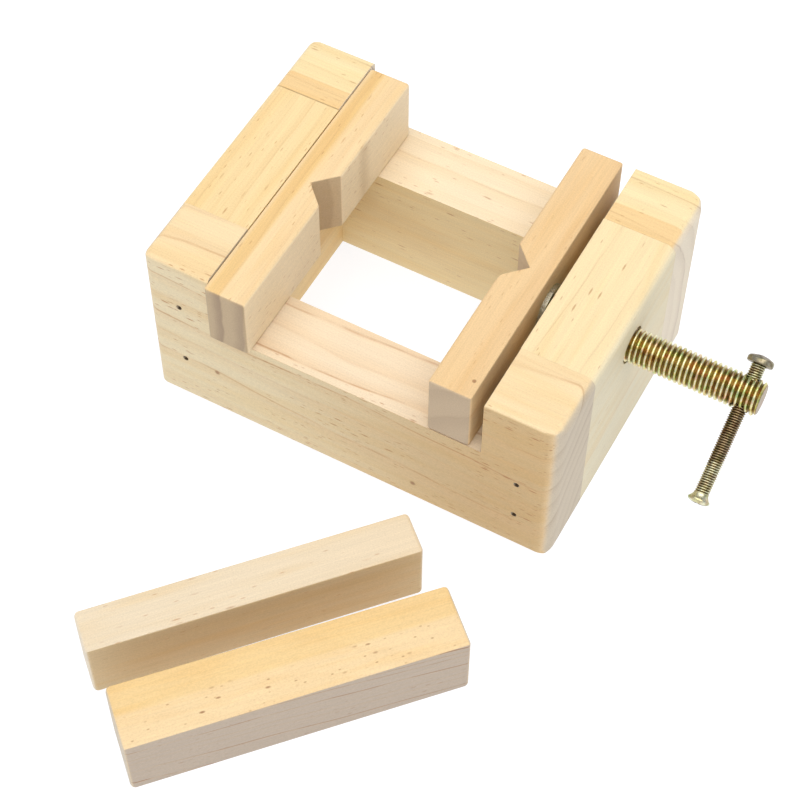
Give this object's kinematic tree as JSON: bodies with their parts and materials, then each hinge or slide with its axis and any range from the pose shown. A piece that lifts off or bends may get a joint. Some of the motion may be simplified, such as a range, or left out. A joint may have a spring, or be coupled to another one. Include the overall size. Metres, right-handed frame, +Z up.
{
  "type": "wooden carving vise",
  "caption": "Wooden box-frame bench vise with two V-notched jaws, a threaded clamp screw with sliding tommy bar and two loose packing blocks, for holding small work to carve.",
  "frame": {"origin": "on the bench plane, under the centre of the fixed end block's underside", "axes": "+X along the clamp screw towards its free end, +Y towards the far side rail, +Z up from the bench"},
  "size_m": [0.195, 0.2438, 0.07],
  "materials": {
    "rail_pine": "satin",
    "end_block_pine": "satin",
    "jaw_pine": "satin",
    "pale_packing_pine": "satin",
    "yellow_packing_pine": "satin",
    "bright_zinc": "satin",
    "yellow_zinc": "satin",
    "dark_spring_steel": "satin",
    "brad_steel": "satin"
  },
  "bodies": {
    "frame": {"near_side_rail": "rail_pine", "far_side_rail": "rail_pine", "fixed_end_block": "end_block_pine", "screw_end_block": "end_block_pine", "tee_nut": "bright_zinc", "brad_fixed_end_near_1": "brad_steel", "brad_fixed_end_near_2": "brad_steel", "brad_fixed_end_far_1": "brad_steel", "brad_fixed_end_far_2": "brad_steel", "brad_screw_end_near_1": "brad_steel", "brad_screw_end_near_2": "brad_steel", "brad_screw_end_far_1": "brad_steel", "brad_screw_end_far_2": "brad_steel"},
    "moving_jaw": {"moving_jaw": "jaw_pine", "thrust_plate": "bright_zinc", "plate_pin_1": "bright_zinc", "plate_pin_2": "bright_zinc"},
    "clamp_screw": {"clamp_screw": "yellow_zinc", "retaining_clip": "dark_spring_steel"},
    "tommy_bar": {"tommy_bar": "yellow_zinc", "tommy_bar_cap": "yellow_zinc"},
    "fixed_side_jaw": {"fixed_side_jaw": "jaw_pine"},
    "thin_packing_block": {"thin_packing_block": "pale_packing_pine"},
    "thick_packing_block": {"thick_packing_block": "yellow_packing_pine"}
  },
  "joints": [
    {"name": "moving_jaw_travel", "type": "slide", "parent": "frame", "child": "moving_jaw", "axis": [1, 0, 0], "range_m": [-0.035, 0.0026]},
    {"name": "clamp_screw_turn", "type": "hinge", "parent": "moving_jaw", "child": "clamp_screw", "pos_m": [0.1085, 0, 0.053], "axis": [1, 0, 0], "range_deg": [-7206, 540]},
    {"name": "tommy_bar_slide", "type": "slide", "parent": "clamp_screw", "child": "tommy_bar", "axis": [0, 0.848, 0.5299], "range_m": [-0.0037, 0.0295]},
    {"name": "fixed_jaw_slide", "type": "slide", "parent": "frame", "child": "fixed_side_jaw", "axis": [1, 0, 0], "range_m": [0, 0.037]},
    {"name": "thin_packing_lift", "type": "slide", "parent": "frame", "child": "thin_packing_block", "axis": [0, 0, 1], "range_m": [0, 0.05]},
    {"name": "thick_packing_lift", "type": "slide", "parent": "frame", "child": "thick_packing_block", "axis": [0, 0, 1], "range_m": [0, 0.05]}
  ],
  "couplings": [
    {"joint": "clamp_screw_turn", "follows": "moving_jaw_travel", "rad_per_m": 3590.4}
  ]
}
